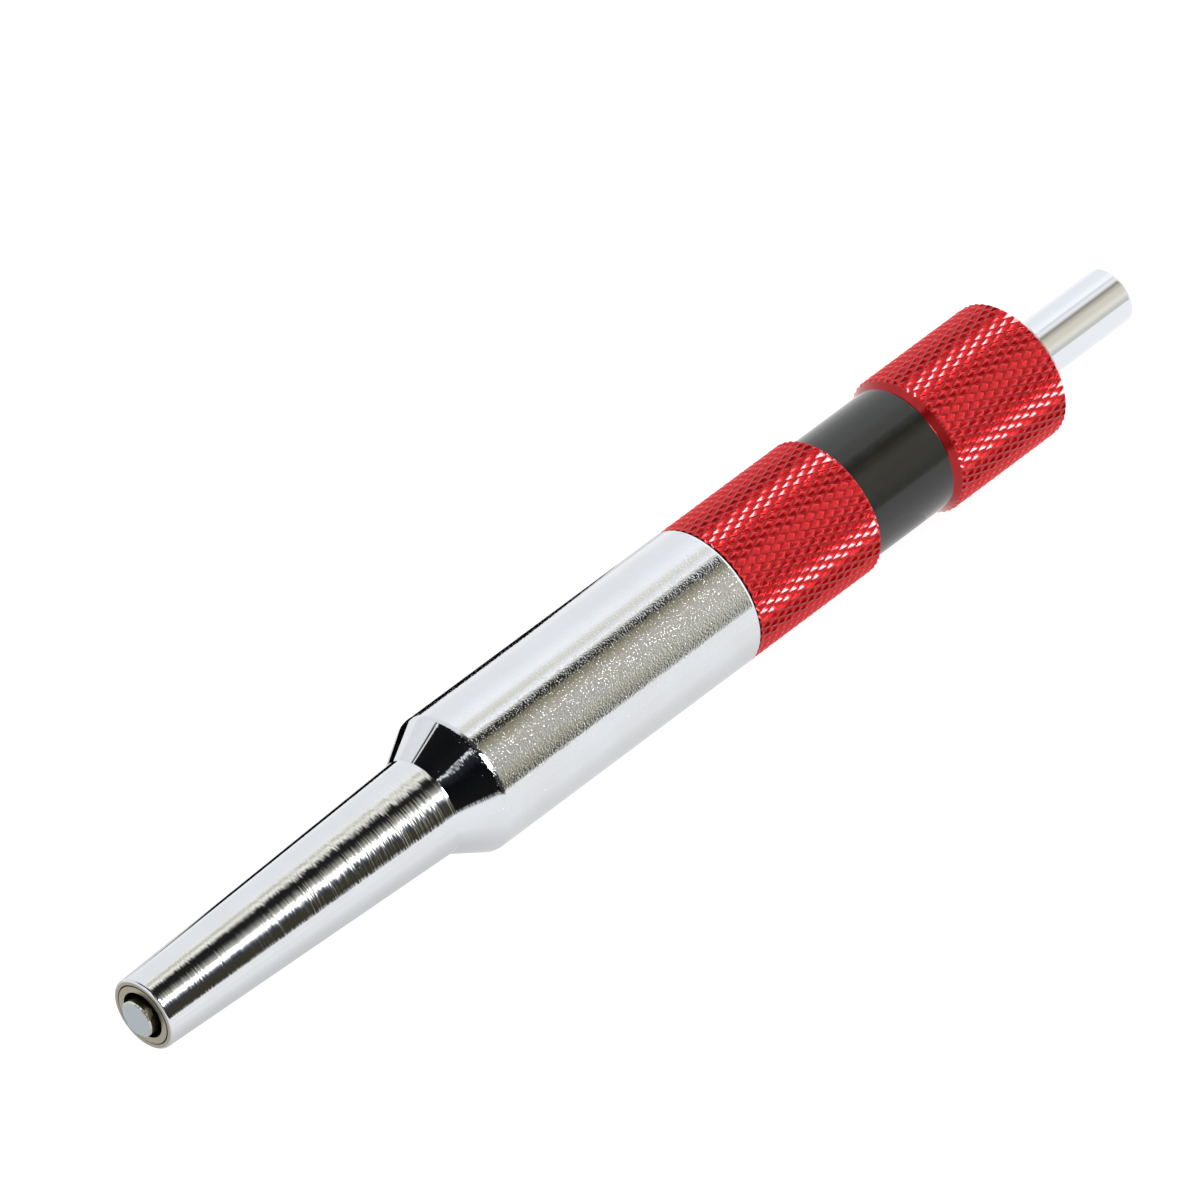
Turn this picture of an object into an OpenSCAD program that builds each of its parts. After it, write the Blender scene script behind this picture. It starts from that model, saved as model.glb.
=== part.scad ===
// Nail setter, lying on its side: a sprung striker slides in a chromed barrel with a knurled handle.
// The axis runs along X. The nose points to -X and the struck end of the rod to +X.
// Places along the axis are counted rearwards from the front face of the nose.

/* [Nose] */
// Bore that the nail and the driver pin slide in
nose_bore_d = 7.9; // [6.5:0.1:9.5]
// Wall of the guide bush in the mouth of the nose
nose_bush_wall = 1.25; // [0.8:0.05:1.8]
// Length of the guide bush in the mouth of the nose
nose_bush_len = 12; // [6:0.5:20]
// Chamfer around the joint of bush and nose
nose_bush_edge = 0.12; // [0.05:0.01:0.2]
// Wall of the nose around the guide bush, at the tip
nose_wall = 0.9; // [0.7:0.05:2]
// Outer diameter of the nose where the shoulder starts
nose_root_d = 16.5; // [14:0.1:19]
// Length of the tapered nose
nose_len = 60.4; // [50:0.2:80]
// Chamfer on the outer edge of the nose tip
nose_edge = 0.35; // [0.1:0.05:0.5]

/* [Barrel] */
// Length of the conical shoulder behind the nose
shoulder_len = 6.8; // [4:0.2:10]
// Outer diameter of the barrel and of the handle over its knurl
body_d = 24; // [20:0.2:30]
// Length of the straight barrel
barrel_len = 55.4; // [48:0.2:70]
// Chamfer at the rear edge of the barrel
barrel_edge = 0.2; // [0.1:0.05:0.4]
// Depth of solid metal between the shoulder and the spring chamber
chamber_wall = 6.8; // [4:0.2:10]
// Diameter of the spring chamber
chamber_d = 16; // [14:0.1:18]
// Length of the screwed spigot that carries the handle
spigot_len = 14; // [8:0.5:17]
// Lead-in chamfer of the screwed spigot
spigot_edge = 0.5; // [0.2:0.1:1]

/* [Handle] */
// Wall of the handle around the screwed spigot
handle_wall = 1.2; // [0.8:0.1:3]
// Length of the front knurled part
front_knurl_len = 27.4; // [22:0.2:40]
// Length of the groove for the label, with its sloping rear side
groove_len = 18.8; // [12:0.2:30]
// Depth of the groove for the label
groove_depth = 1.3; // [0.5:0.1:2]
// Length of the rear knurled part
rear_knurl_len = 24; // [18:0.2:40]
// Chamfer at both ends of the front knurled part
front_rim = 0.3; // [0.1:0.05:0.6]
// Chamfer at the rear end of the handle
rear_rim = 1.1; // [0.3:0.1:2]
// Length of the solid rear part that holds the rod's guide bushes
guide_block_len = 46; // [36:0.5:54]
// Wall of the rod's guide bushes
guide_bush_wall = 1.6; // [1.1:0.1:2.5]
// Length of each of the rod's guide bushes
guide_bush_len = 12; // [6:0.5:17]
// Depth of the rear guide bush below the rear face
guide_bush_inset = 0.4; // [0:0.1:2]
// Free play around the rod between its guide bushes
relief_play = 0.6; // [0.3:0.1:1]

/* [Label] */
// Thickness of the label film
label_film = 0.15; // [0.05:0.05:0.3]
// Bare margin at each end of the label
label_margin = 0.15; // [0.05:0.05:0.5]

/* [Striker] */
// Diameter of the struck rod
rod_d = 9.8; // [8.2:0.1:11]
// Length of rod that stands out of the handle
rod_out = 22.4; // [15:0.2:60]
// Chamfer at the struck end of the rod
rod_edge = 0.5; // [0.1:0.1:1.5]
// Free play around the driver pin in the nose
pin_play = 0.7; // [0.2:0.05:1.2]
// Length of driver pin that stands out of the nose
pin_proud = 1.5; // [0.5:0.1:3]
// Chamfer around the face of the driver pin
pin_edge = 0.5; // [0.1:0.1:1]
// Depth of the driver pin in the front end of the rod
pin_grip = 18; // [12:0.5:25]
// Length of the driver pin's wider land that slides in the nose
pin_land_len = 12; // [6:0.5:14]
// Length of bore left behind that land when the striker is pushed right back
pin_land_spare = 2; // [1:0.5:4]
// Length of the stop collar
collar_len = 10; // [7:0.5:14]
// Chamfer on the edges of the stop collar
collar_edge = 0.6; // [0.2:0.1:1]
// Diameter of the roll pin across the collar
cross_pin_d = 3; // [2:0.1:3.4]
// Wall of the roll pin
cross_pin_wall = 0.6; // [0.3:0.1:0.9]
// Width of the roll pin's slit
cross_pin_slit = 0.5; // [0.2:0.1:0.8]
// Depth of the roll pin's ends below the collar
cross_pin_inset = 0.5; // [0.2:0.1:1]
// Sliding travel of the striker, a little more than the longest nail
travel = 34; // [25:0.5:42]

/* [Spring] */
// Wire diameter of the return spring
wire_d = 1.3; // [0.9:0.1:1.5]
// Number of coils
coil_count = 17; // [10:1:19]
// Thickness of the washer behind the spring
washer_len = 1; // [0.5:0.1:2]
// Thickness of the buffer ring in front of the collar
buffer_len = 3; // [1.5:0.5:6]

/* [Fits] */
// Radial clearance of a part that slides in its guide
running_clear = 0.05; // [0.02:0.01:0.1]
// Radial clearance of a part that is fixed in its seat
seat_clear = 0.02; // [0.01:0.01:0.05]
// Radial play of the loose rings in the spring chamber
ring_play = 0.3; // [0.2:0.05:0.5]
// Gap between end faces that meet along the axis
face_gap = 0.1; // [0.05:0.01:0.2]

/* [Hidden] */
$fn = 96;
// Amount by which a cut runs past the face that it opens
overrun = 1;

// Places along the axis
shoulder_x = nose_len + shoulder_len;
joint_x = shoulder_x + barrel_len;
spigot_x = joint_x + spigot_len;
groove_x = joint_x + front_knurl_len;
rear_knurl_x = groove_x + groove_len;
handle_x = rear_knurl_x + rear_knurl_len;
rod_x = handle_x + rod_out;
chamber_x = shoulder_x + chamber_wall;
collar_x = chamber_x + buffer_len + face_gap;
collar_rear_x = collar_x + collar_len;
guide_x = handle_x - guide_block_len;
washer_x = guide_x - washer_len;
land_rear_x = chamber_x - travel - pin_land_spare;
land_x = land_rear_x - pin_land_len;
middle_x = (rod_x - pin_proud) / 2;

// Radii
nose_bore_r = nose_bore_d / 2;
nose_bush_r = nose_bore_r + nose_bush_wall;
nose_tip_r = nose_bush_r + nose_wall;
nose_root_r = nose_root_d / 2;
body_r = body_d / 2;
chamber_r = chamber_d / 2;
spigot_r = body_r - handle_wall;
groove_r = body_r - groove_depth;
rod_r = rod_d / 2;
guide_bush_r = rod_r + guide_bush_wall;
pin_r = nose_bore_r - pin_play;
land_r = nose_bore_r - running_clear;
collar_r = chamber_r - ring_play;
cross_pin_r = cross_pin_d / 2;

// Return spring: one tube of flat-sided rings along a helix
rings_per_coil = 8;
wire_sides = 6;
wire_r = wire_d / 2;
// A coil of flat sides comes this share nearer to the rod halfway between two rings
flat_share = cos(180 / rings_per_coil);
// The coils keep the same distance from the rod and from the wall of the chamber
coil_r = (rod_r + chamber_r - wire_r * (1 - flat_share)) / (1 + flat_share);
spring_start = collar_rear_x + face_gap + wire_r;
spring_end = washer_x - face_gap - wire_r;
coil_pitch = (spring_end - spring_start) / coil_count;
last_ring = coil_count * rings_per_coil;

function ring_turn(i) = 360 * i / rings_per_coil;

function ring_centre(i) = [
  coil_r * cos(ring_turn(i)),
  coil_r * sin(ring_turn(i)),
  spring_start + coil_pitch * i / rings_per_coil
];

function outwards(i) = [cos(ring_turn(i)), sin(ring_turn(i)), 0];

function along(i) =
  let (once_round = 2 * PI * coil_r)
  let (run = [-once_round * sin(ring_turn(i)), once_round * cos(ring_turn(i)), coil_pitch])
  run / norm(run);

function ring_point(i, k) =
  let (a = 360 * k / wire_sides)
  ring_centre(i) + wire_r * (cos(a) * outwards(i) + sin(a) * cross(along(i), outwards(i)));

function ring_index(i, k) = i * wire_sides + k % wire_sides;

// Least gap between points on neighbouring coils
spring_gap = min([
  for (i = [0:last_ring - rings_per_coil], step = [-1:1], a = [0:wire_sides - 1], b = [0:wire_sides - 1])
    if (i + rings_per_coil + step <= last_ring)
      norm(ring_point(i, a) - ring_point(i + rings_per_coil + step, b))
]);
echo(spring_gap = spring_gap);

// Lays a piece that was turned about Z along the axis of the tool
module laid() {
  translate([-middle_x, 0, body_r])
    rotate([0, 90, 0])
      children();
}

// A piece turned from an outline of [radius, place along the axis]
module turned(outline) {
  rotate_extrude()
    polygon(outline);
}

// Plain ring between two radii and two places along the axis
module ring(outer_r, inner_r, from_x, to_x) {
  turned([[inner_r, from_x], [outer_r, from_x], [outer_r, to_x], [inner_r, to_x]]);
}

// Cylinder across the striker, through the middle of the stop collar
module cross_cylinder(r, half_len) {
  translate([-half_len, 0, collar_x + collar_len / 2])
    rotate([0, 90, 0])
      cylinder(r = r, h = 2 * half_len);
}

module cross_hole() {
  cross_cylinder(cross_pin_r + seat_clear, collar_r + overrun);
}

module barrel() {
  color("gainsboro")
    laid()
      turned([
        [nose_bush_r + nose_bush_edge, 0],
        [nose_tip_r - nose_edge, 0],
        [nose_tip_r, nose_edge],
        [nose_root_r, nose_len],
        [body_r, shoulder_x],
        [body_r, joint_x - barrel_edge],
        [body_r - barrel_edge, joint_x],
        [spigot_r, joint_x],
        [spigot_r, spigot_x - spigot_edge],
        [spigot_r - spigot_edge, spigot_x],
        [chamber_r, spigot_x],
        [chamber_r, chamber_x],
        [nose_bore_r, chamber_x],
        [nose_bore_r, nose_bush_len],
        [nose_bush_r, nose_bush_len],
        [nose_bush_r, nose_bush_edge]
      ]);
}

module nose_bush() {
  color("tan")
    laid()
      turned([
        [nose_bore_r, 0],
        [nose_bush_r - seat_clear - nose_bush_edge, 0],
        [nose_bush_r - seat_clear, nose_bush_edge],
        [nose_bush_r - seat_clear, nose_bush_len],
        [nose_bore_r, nose_bush_len]
      ]);
}

module front_buffer() {
  color("dimgray")
    laid()
      ring(chamber_r - ring_play, nose_bore_r, chamber_x, chamber_x + buffer_len);
}

module handle() {
  color("firebrick")
    laid()
      turned([
        [spigot_r + seat_clear, joint_x],
        [body_r - front_rim, joint_x],
        [body_r, joint_x + front_rim],
        [body_r, groove_x - front_rim],
        [body_r - front_rim, groove_x],
        [groove_r, groove_x],
        [groove_r, rear_knurl_x - groove_depth],
        [body_r, rear_knurl_x],
        [body_r, handle_x - rear_rim],
        [body_r - rear_rim, handle_x],
        [guide_bush_r, handle_x],
        [guide_bush_r, handle_x - guide_bush_inset - guide_bush_len],
        [rod_r + relief_play, handle_x - guide_bush_inset - guide_bush_len],
        [rod_r + relief_play, guide_x + guide_bush_len],
        [guide_bush_r, guide_x + guide_bush_len],
        [guide_bush_r, guide_x],
        [chamber_r, guide_x],
        [chamber_r, spigot_x + face_gap],
        [spigot_r + seat_clear, spigot_x + face_gap]
      ]);
}

module label_band() {
  color("black")
    laid()
      ring(
        groove_r + seat_clear + label_film,
        groove_r + seat_clear,
        groove_x + label_margin,
        rear_knurl_x - groove_depth - label_margin
      );
}

// One of the two bushes that guide the rod in the handle
module guide_bush(from_x) {
  ring(guide_bush_r - seat_clear, rod_r + running_clear, from_x, from_x + guide_bush_len);
}

module front_guide_bush() {
  color("peru")
    laid()
      guide_bush(guide_x);
}

module rear_guide_bush() {
  color("peru")
    laid()
      guide_bush(handle_x - guide_bush_inset - guide_bush_len);
}

module spring_washer() {
  color("silver")
    laid()
      ring(chamber_r - ring_play, rod_r + ring_play, washer_x, guide_x);
}

module return_spring() {
  points = [for (i = [0:last_ring], k = [0:wire_sides - 1]) ring_point(i, k)];
  sides = [
    for (i = [0:last_ring - 1], k = [0:wire_sides - 1])
      each [
        [ring_index(i, k), ring_index(i + 1, k), ring_index(i + 1, k + 1)],
        [ring_index(i, k), ring_index(i + 1, k + 1), ring_index(i, k + 1)]
      ]
  ];
  first_cap = [
    for (k = [1:wire_sides - 2])
      [ring_index(0, 0), ring_index(0, k), ring_index(0, k + 1)]
  ];
  last_cap = [
    for (k = [1:wire_sides - 2])
      [ring_index(last_ring, 0), ring_index(last_ring, k + 1), ring_index(last_ring, k)]
  ];
  color("slategray")
    laid()
      polyhedron(points, concat(sides, first_cap, last_cap));
}

module striker_rod() {
  color("whitesmoke")
    laid()
      difference() {
        turned([
          [0, collar_x + pin_grip],
          [pin_r + seat_clear, collar_x + pin_grip],
          [pin_r + seat_clear, collar_x],
          [rod_r, collar_x],
          [rod_r, rod_x - rod_edge],
          [rod_r - rod_edge, rod_x],
          [0, rod_x]
        ]);
        cross_hole();
      }
}

module driver_pin() {
  color("lightsteelblue")
    laid()
      difference() {
        turned([
          [0, -pin_proud],
          [pin_r - pin_edge, -pin_proud],
          [pin_r, pin_edge - pin_proud],
          [pin_r, land_x],
          [land_r, land_x],
          [land_r, land_rear_x],
          [pin_r, land_rear_x],
          [pin_r, collar_x + pin_grip],
          [0, collar_x + pin_grip]
        ]);
        cross_hole();
      }
}

module stop_collar() {
  color("gray")
    laid()
      difference() {
        turned([
          [rod_r + seat_clear, collar_x],
          [collar_r - collar_edge, collar_x],
          [collar_r, collar_x + collar_edge],
          [collar_r, collar_rear_x - collar_edge],
          [collar_r - collar_edge, collar_rear_x],
          [rod_r + seat_clear, collar_rear_x]
        ]);
        cross_hole();
      }
}

module cross_pin() {
  half_len = collar_r - cross_pin_inset;
  color("darkgray")
    laid()
      difference() {
        cross_cylinder(cross_pin_r, half_len);
        cross_cylinder(cross_pin_r - cross_pin_wall, half_len + overrun);
        translate([-half_len - overrun, 0, collar_x + collar_len / 2 - cross_pin_slit / 2])
          cube([2 * (half_len + overrun), cross_pin_r + overrun, cross_pin_slit]);
      }
}

barrel();
nose_bush();
front_buffer();
handle();
label_band();
front_guide_bush();
rear_guide_bush();
spring_washer();
return_spring();
striker_rod();
driver_pin();
stop_collar();
cross_pin();
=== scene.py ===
"""Looks of the nail setter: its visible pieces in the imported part's own frame, its finishes and a studio.

Pieces are drawn in millimetres, in the row frame, and scaled to metres once when they are handed over.
"""

import logging
import math
from collections.abc import Callable, Sequence
from dataclasses import dataclass, field
from enum import Enum
from itertools import pairwise

import bmesh
import bpy
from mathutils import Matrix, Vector


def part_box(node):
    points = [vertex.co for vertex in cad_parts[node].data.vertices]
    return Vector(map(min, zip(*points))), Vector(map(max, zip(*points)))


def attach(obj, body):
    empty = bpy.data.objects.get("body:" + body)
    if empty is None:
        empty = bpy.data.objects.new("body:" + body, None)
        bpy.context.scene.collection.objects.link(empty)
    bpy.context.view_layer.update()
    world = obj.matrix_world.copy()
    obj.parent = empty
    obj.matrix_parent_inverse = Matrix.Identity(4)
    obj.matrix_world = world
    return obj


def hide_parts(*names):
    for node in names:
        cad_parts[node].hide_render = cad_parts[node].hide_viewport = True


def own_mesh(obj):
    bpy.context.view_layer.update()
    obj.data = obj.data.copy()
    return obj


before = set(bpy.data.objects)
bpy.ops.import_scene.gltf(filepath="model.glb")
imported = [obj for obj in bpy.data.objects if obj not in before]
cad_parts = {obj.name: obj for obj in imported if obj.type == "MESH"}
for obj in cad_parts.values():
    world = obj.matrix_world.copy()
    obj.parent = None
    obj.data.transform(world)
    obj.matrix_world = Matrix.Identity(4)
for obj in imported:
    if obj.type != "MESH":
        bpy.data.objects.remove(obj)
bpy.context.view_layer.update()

log = logging.getLogger("nail_setter")

MM = 0.001
# Height of the tool's axis above the surface that it lies on, in millimetres
AXIS_Z = (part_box("barrel")[0].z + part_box("barrel")[1].z) / 2 / MM
# Flats around a turned piece, enough to be round in a close-up
TURN_STEPS = 256
# Flats across an eased corner
EASE_STEPS = 5
# Two points nearer than this are one point, in millimetres
SAME_POINT = 0.002
# Edges sharper than this stay sharp
SHARP_ANGLE = math.radians(28)
# Share of the axis in the normal past which a face is an end face
END_FACE = 0.9
# Diameter of the spring chamber in barrel and handle, in millimetres
CHAMBER_D = 16.0
# Step from the outside of barrel and handle down to the screwed spigot, in millimetres
SPIGOT_WALL = 1.2
# Clearance of a piece in its seat, in millimetres
SEAT_CLEAR = 0.02


class Body(Enum):
    """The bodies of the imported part."""

    HOUSING = "housing"
    STRIKER = "striker"


class Pick(Enum):
    """What an edit-mode selection picks."""

    VERT = "VERT"
    EDGE = "EDGE"


class Cut(Enum):
    """What a piece keeps when another one is put through it."""

    OUTSIDE = "DIFFERENCE"
    INSIDE = "INTERSECT"


def linear(color: str, gain: float = 1.0) -> tuple[float, float, float, float]:
    """Turns an sRGB hex colour into linear light, by the numbers of the sRGB standard.

    Args:
        color: The colour as #RRGGBB.
        gain: Factor on the light.

    Returns:
        Linear red, green and blue, with an alpha of one.
    """
    shares = [int(color[i:i + 2], 16) / 255 for i in (1, 3, 5)]
    light = [share / 12.92 if share <= 0.04045 else ((share + 0.055) / 1.055) ** 2.4 for share in shares]
    return (light[0] * gain, light[1] * gain, light[2] * gain, 1.0)


def add_node(tree: bpy.types.NodeTree, kind: str, inputs: dict[str | int, object] | None = None,
             **settings: object) -> bpy.types.Node:
    """Adds a node with its settings and its inputs.

    Args:
        tree: The node tree to add to.
        kind: The node's type name.
        inputs: Value of each named or numbered input; a socket is linked.
        settings: Properties of the node.

    Returns:
        The new node.
    """
    node = tree.nodes.new(kind)
    for name, value in settings.items():
        setattr(node, name, value)
    for key, value in (inputs or {}).items():
        if isinstance(value, bpy.types.NodeSocket):
            tree.links.new(value, node.inputs[key])
        else:
            node.inputs[key].default_value = value
    return node


def set_stops(ramp: bpy.types.ColorRamp, stops: Sequence[tuple[float, Sequence[float]]]) -> None:
    """Gives a new colour ramp its stops.

    Args:
        ramp: The ramp.
        stops: Place, from 0 to 1, and linear colour of each stop, in order.
    """
    ramp.elements.remove(ramp.elements[-1])
    for i, (place, color) in enumerate(stops):
        stop = ramp.elements[0] if i == 0 else ramp.elements.new(place)
        stop.position = place
        stop.color = color


@dataclass(frozen=True)
class Extent:
    """Reach of a CAD node, in millimetres.

    Attributes:
        front: Its end towards the nose.
        rear: Its end towards the struck end.
        radius: Its largest distance from the axis.
    """

    front: float
    rear: float
    radius: float

    @classmethod
    def of(cls, node: str) -> "Extent":
        """Measures a node of the frame.

        Args:
            node: The node's name.

        Returns:
            The node's reach.
        """
        low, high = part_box(node)
        return cls(low.x / MM, high.x / MM, (high.y - low.y) / 2 / MM)


@dataclass(frozen=True)
class Corner:
    """A corner of a turned outline, in millimetres.

    Attributes:
        x: Place along the axis.
        r: Distance from the axis.
        ease: Length of edge that the corner's rounding takes on each side.
    """

    x: float
    r: float
    ease: float = 0.0

    def point(self) -> Vector:
        """Gives the corner's place below the axis, so that seams lie underneath."""
        return Vector((self.x, 0.0, AXIS_Z - self.r))


def off_axis(place: Vector) -> float:
    """Gives a point's distance from the tool's axis, in millimetres."""
    return math.hypot(place.y, place.z - AXIS_Z)


class Workpiece:
    """A piece on the bench, worked on in edit mode and in millimetres."""

    def __init__(self, name: str, add: Callable[..., set[str]], **sizes: object) -> None:
        """Adds a primitive as the start of the piece.

        Args:
            name: The piece's name.
            add: The operator that adds the primitive.
            sizes: What the operator takes.
        """
        if bpy.context.mode != "OBJECT":
            bpy.ops.object.mode_set(mode="OBJECT")
        bpy.ops.object.select_all(action="DESELECT")
        add(**sizes)
        bpy.ops.object.transform_apply(location=True, rotation=True, scale=True)
        self.obj = bpy.context.object
        self.obj.name = name
        self.obj.data.name = name
        bpy.ops.object.mode_set(mode="EDIT")
        bpy.ops.mesh.select_mode(type=Pick.VERT.value)
        bpy.ops.mesh.select_all(action="SELECT")

    def select(self, kind: Pick, test: Callable[[object], bool]) -> None:
        """Selects the vertices or edges that pass a test, and nothing else.

        Args:
            kind: What is picked.
            test: Says of a vertex or edge whether it is picked.
        """
        bpy.ops.mesh.select_mode(type=kind.value)
        bpy.ops.mesh.select_all(action="DESELECT")
        mesh = bmesh.from_edit_mesh(self.obj.data)
        for element in filter(test, mesh.verts if kind is Pick.VERT else mesh.edges):
            element.select_set(True)
        mesh.select_flush_mode()
        bmesh.update_edit_mesh(self.obj.data)

    def select_point(self, *places: Vector) -> None:
        """Selects the vertices at the given places."""
        self.select(Pick.VERT, lambda vert: any((vert.co - place).length < SAME_POINT for place in places))

    def close(self) -> None:
        """Merges doubled points and turns all faces outwards."""
        bpy.ops.mesh.select_mode(type=Pick.VERT.value)
        bpy.ops.mesh.select_all(action="SELECT")
        bpy.ops.mesh.remove_doubles(threshold=SAME_POINT / 2)
        bpy.ops.mesh.select_all(action="SELECT")
        bpy.ops.mesh.normals_make_consistent(inside=False)

    def leave(self) -> None:
        """Goes back to object mode with only this piece selected."""
        bpy.ops.object.mode_set(mode="OBJECT")
        bpy.ops.object.select_all(action="DESELECT")
        self.obj.select_set(True)
        bpy.context.view_layer.objects.active = self.obj

    def apply(self, kind: str, **settings: object) -> None:
        """Adds a modifier and applies it, in object mode.

        Args:
            kind: The modifier's type.
            settings: The modifier's properties.
        """
        modifier = self.obj.modifiers.new(kind.title(), kind)
        for name, value in settings.items():
            setattr(modifier, name, value)
        bpy.ops.object.modifier_apply(modifier=modifier.name)

    def carve(self, tool: "Workpiece", cut: Cut) -> None:
        """Cuts this piece with another one, which is used up.

        Args:
            tool: The other piece, in edit mode or not.
            cut: What is kept of this piece.
        """
        tool.leave()
        self.leave()
        self.apply("BOOLEAN", operation=cut.value, object=tool.obj, solver="MANIFOLD")
        bpy.data.objects.remove(tool.obj)

    def paint(self, finishes: Sequence[bpy.types.Material],
              choose: Callable[[bpy.types.MeshPolygon], int] | None = None) -> None:
        """Goes back to object mode and gives the piece its finishes.

        Args:
            finishes: The finishes, the main one first.
            choose: Says of a face which finish it has.
        """
        self.leave()
        self.obj.data.materials.clear()
        for finish in finishes:
            self.obj.data.materials.append(finish)
        for face in self.obj.data.polygons:
            face.material_index = choose(face) if choose else 0

    def hand_over(self, body: Body, node: str, slot: str) -> bpy.types.Object:
        """Scales the painted piece to metres and ties it to the frame.

        Args:
            body: The body that it rides on.
            node: The CAD node that it stands for.
            slot: The record's material slot for the piece; not used.

        Returns:
            The piece's object.
        """
        bpy.ops.object.shade_smooth_by_angle(angle=SHARP_ANGLE)
        self.apply("WEIGHTED_NORMAL", keep_sharp=True)
        bpy.ops.transform.resize(value=(MM, MM, MM), center_override=(0, 0, 0))
        bpy.ops.object.transform_apply(location=True, rotation=True, scale=True)
        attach(self.obj, body.value)
        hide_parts(node)
        log.info("%s: %d faces on %s", self.obj.name, len(self.obj.data.polygons), body.value)
        return self.obj


def turned(name: str, outline: Sequence[Corner], hollow: bool, sweep: float = math.tau) -> Workpiece:
    """Turns a piece: a point is drawn out to an outline below the axis, eased at its corners and spun.

    Args:
        name: The piece's name.
        outline: The corners in order; those of a solid piece start and end on the axis.
        hollow: Whether the outline closes on itself.
        sweep: The angle that the outline is spun through.

    Returns:
        The turned piece, in edit mode.
    """
    piece = Workpiece(name, bpy.ops.mesh.primitive_plane_add, size=1.0)
    bpy.ops.mesh.merge(type="CENTER")
    bpy.ops.transform.translate(value=outline[0].point())
    for here, there in pairwise(outline):
        bpy.ops.mesh.extrude_region_move(TRANSFORM_OT_translate={"value": there.point() - here.point()})
    if hollow:
        piece.select_point(outline[0].point(), outline[-1].point())
        bpy.ops.mesh.edge_face_add()
    for corner in outline:
        if corner.ease:
            piece.select_point(corner.point())
            bpy.ops.mesh.bevel(affect="VERTICES", offset=corner.ease, segments=EASE_STEPS)
    bpy.ops.mesh.select_all(action="SELECT")
    bpy.ops.mesh.spin(steps=TURN_STEPS, angle=sweep, center=(0, 0, AXIS_Z), axis=(1, 0, 0))
    piece.close()
    return piece


@dataclass(frozen=True)
class Finish:
    """A material made of nodes, on the piece's own Object coordinates.

    Attributes:
        name: The real material and how its surface was made.
    """

    name: str

    def material(self) -> bpy.types.Material:
        """Builds the material.

        Returns:
            The material, with the nodes of this finish.
        """
        material = bpy.data.materials.new(self.name)
        material.use_nodes = True
        tree = material.node_tree
        coords = add_node(tree, "ShaderNodeTexCoord")
        place = add_node(tree, "ShaderNodeVectorMath", {0: coords.outputs["Object"], "Scale": 1 / MM},
                         operation="SCALE")
        self.dress(tree, tree.nodes["Principled BSDF"], place.outputs[0])
        return material

    def dress(self, tree: bpy.types.NodeTree, shader: bpy.types.Node, place: bpy.types.NodeSocket) -> None:
        """Adds the nodes of this finish.

        Args:
            tree: The material's node tree.
            shader: Its shader.
            place: Socket with the place on the piece, in millimetres.
        """
        raise NotImplementedError

    @staticmethod
    def distance(tree: bpy.types.NodeTree, place: bpy.types.NodeSocket) -> bpy.types.NodeSocket:
        """Adds the nodes that measure the distance from the tool's axis.

        Args:
            tree: The material's node tree.
            place: Socket with the place on the piece, in millimetres.

        Returns:
            Socket with the distance, in millimetres.
        """
        centred = add_node(tree, "ShaderNodeVectorMath", {0: place, 1: (0.0, 0.0, AXIS_Z)},
                           operation="SUBTRACT")
        across = add_node(tree, "ShaderNodeVectorMath", {0: centred.outputs[0], 1: (0.0, 1.0, 1.0)},
                          operation="MULTIPLY")
        length = add_node(tree, "ShaderNodeVectorMath", {0: across.outputs[0]}, operation="LENGTH")
        return length.outputs["Value"]


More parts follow.
